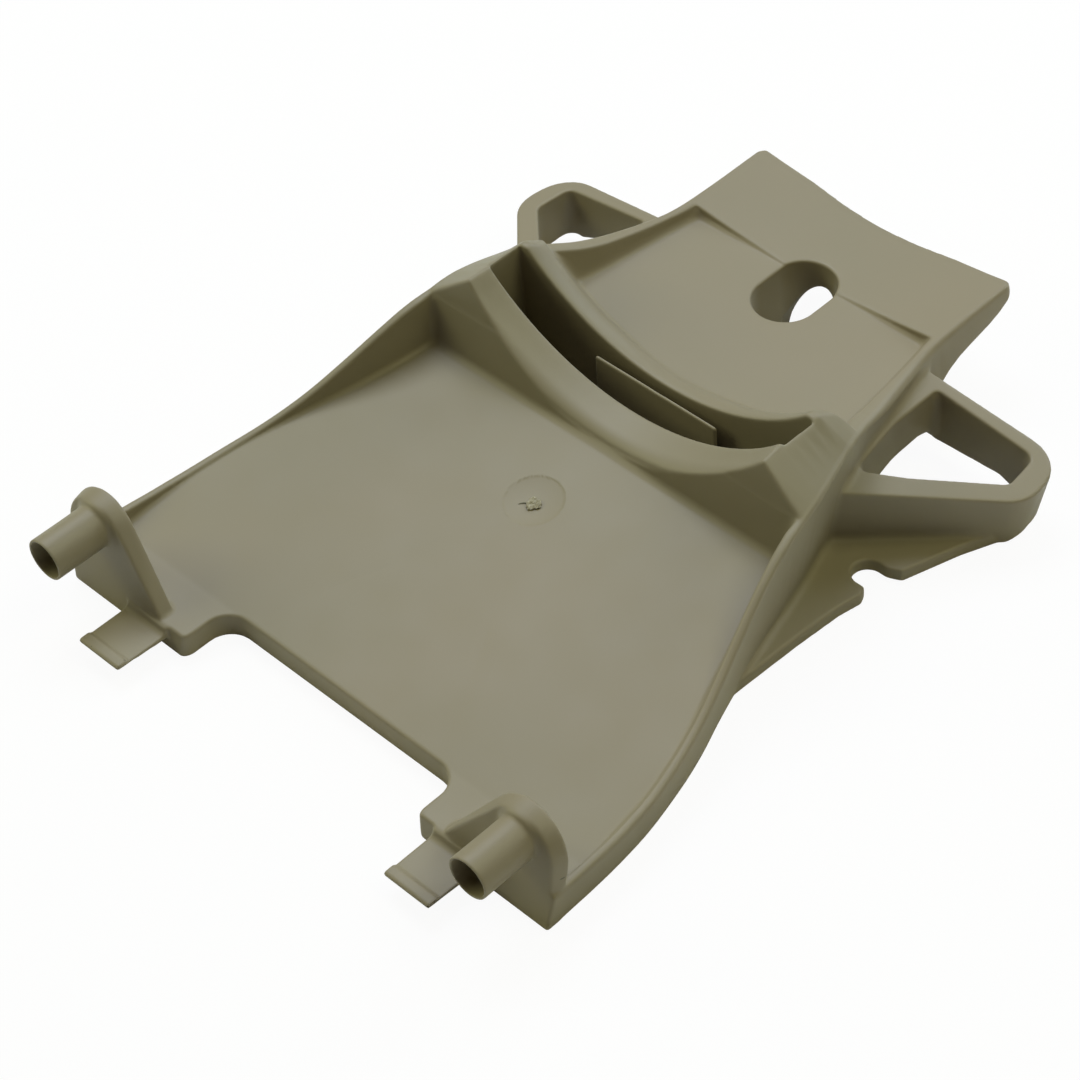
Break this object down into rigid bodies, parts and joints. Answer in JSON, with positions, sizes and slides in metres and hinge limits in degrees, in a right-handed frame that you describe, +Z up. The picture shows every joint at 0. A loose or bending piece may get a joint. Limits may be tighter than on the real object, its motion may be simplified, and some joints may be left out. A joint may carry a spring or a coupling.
{
  "type": "pump motor base",
  "caption": "One-piece moulded base with a saddle for a motor shell, front pins and snap tabs, side handles and a slotted rear tongue.",
  "frame": {"origin": "on the ground, midway between the tab tips and the rear edge, in the plane of symmetry", "axes": "+X across to the right-hand pin, +Y from the pin end to the rear tongue, +Z up; the part stands on its lower edges"},
  "size_m": [0.2106, 0.2764, 0.0546],
  "materials": {
    "base_plastic": "matte, fine moulded grain"
  },
  "bodies": {
    "root": {"motor_base": "base_plastic"}
  },
  "joints": []
}
